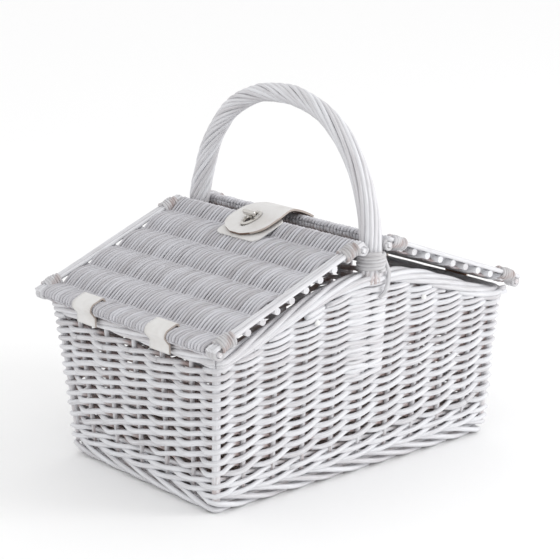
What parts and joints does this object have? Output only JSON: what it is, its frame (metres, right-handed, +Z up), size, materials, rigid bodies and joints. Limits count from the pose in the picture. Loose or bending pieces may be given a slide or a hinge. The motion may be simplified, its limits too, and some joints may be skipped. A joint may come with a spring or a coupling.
{
  "type": "wicker picnic basket",
  "caption": "Rectangular white willow picnic basket with a fixed bow handle, two hinged lids that meet in a ridge, leather hinges and a leather latch with a turn lock.",
  "frame": {"origin": "centre of the foot, on the surface that the basket stands on", "axes": "+X along the basket from the left lid's hinge end to the right lid's, +Y across it towards the back, +Z up"},
  "size_m": [0.4248, 0.3394, 0.4002],
  "materials": {
    "white_willow": "whitewashed",
    "thin_willow": "whitewashed",
    "lashing_willow": "whitewashed",
    "raw_willow": "thinly whitewashed",
    "cream_leather": "satin",
    "nickel": "polished",
    "white_stud": "satin"
  },
  "bodies": {
    "basket": {"base_weave": "raw_willow", "base_stick_1": "raw_willow", "base_stick_2": "raw_willow", "base_stick_3": "raw_willow", "base_stick_4": "raw_willow", "base_stick_5": "raw_willow", "foot_border": "white_willow", "upsett_wale": "white_willow", "wall_weave": "white_willow", "stakes_and_rim": "white_willow", "corner_post_left_front": "white_willow", "corner_post_right_front": "white_willow", "corner_post_left_back": "white_willow", "corner_post_right_back": "white_willow", "handle_core": "white_willow", "handle_wrap": "white_willow", "handle_collar_front": "white_willow", "stud_left_front": "white_stud", "stud_right_front": "white_stud", "hinge_strap_left_front": "cream_leather", "hinge_strap_right_front": "cream_leather", "handle_collar_back": "white_willow", "stud_left_back": "white_stud", "stud_right_back": "white_stud", "hinge_strap_left_back": "cream_leather", "hinge_strap_right_back": "cream_leather"},
    "left_lid": {"left_lid_weave": "thin_willow", "left_lid_stick_1": "white_willow", "left_lid_stick_2": "white_willow", "left_lid_stick_3": "white_willow", "left_lid_stick_4": "white_willow", "left_lid_stick_5": "white_willow", "left_lid_stick_6": "white_willow", "left_lid_side_rods_front": "white_willow", "left_lashing_outer_front": "lashing_willow", "left_lashing_ridge_front": "lashing_willow", "left_lid_side_rods_back": "white_willow", "left_lashing_outer_back": "lashing_willow", "left_lashing_ridge_back": "lashing_willow", "latch_pad": "cream_leather", "turn_lock_base": "nickel"},
    "right_lid": {"right_lid_weave": "thin_willow", "right_lid_stick_1": "white_willow", "right_lid_stick_2": "white_willow", "right_lid_stick_3": "white_willow", "right_lid_stick_4": "white_willow", "right_lid_stick_5": "white_willow", "right_lid_stick_6": "white_willow", "right_lid_side_rods_front": "white_willow", "right_lashing_outer_front": "lashing_willow", "right_lashing_ridge_front": "lashing_willow", "right_lid_side_rods_back": "white_willow", "right_lashing_outer_back": "lashing_willow", "right_lashing_ridge_back": "lashing_willow"},
    "turn_knob": {"turn_knob": "nickel"},
    "latch_flap": {"latch_flap": "cream_leather", "eyelet_plate": "nickel"}
  },
  "joints": [
    {"name": "left_lid_hinge", "type": "hinge", "parent": "basket", "child": "left_lid", "pos_m": [-0.2035, 0, 0.1805], "axis": [0, -1, 0], "range_deg": [0, 180], "deforming": ["hinge_strap_left_front", "hinge_strap_left_back"]},
    {"name": "right_lid_hinge", "type": "hinge", "parent": "basket", "child": "right_lid", "pos_m": [0.2035, 0, 0.1805], "axis": [0, 1, 0], "range_deg": [0, 180], "deforming": ["hinge_strap_right_front", "hinge_strap_right_back"]},
    {"name": "latch_flap_lift", "type": "hinge", "parent": "right_lid", "child": "latch_flap", "pos_m": [0.033, 0, 0.2555], "axis": [0, 1, 0], "range_deg": [0, 150]},
    {"name": "turn_knob_turn", "type": "hinge", "parent": "left_lid", "child": "turn_knob", "pos_m": [-0.035, 0, 0.26092], "axis": [-0.3618, 0, 0.9322], "range_deg": [0, 90]}
  ]
}
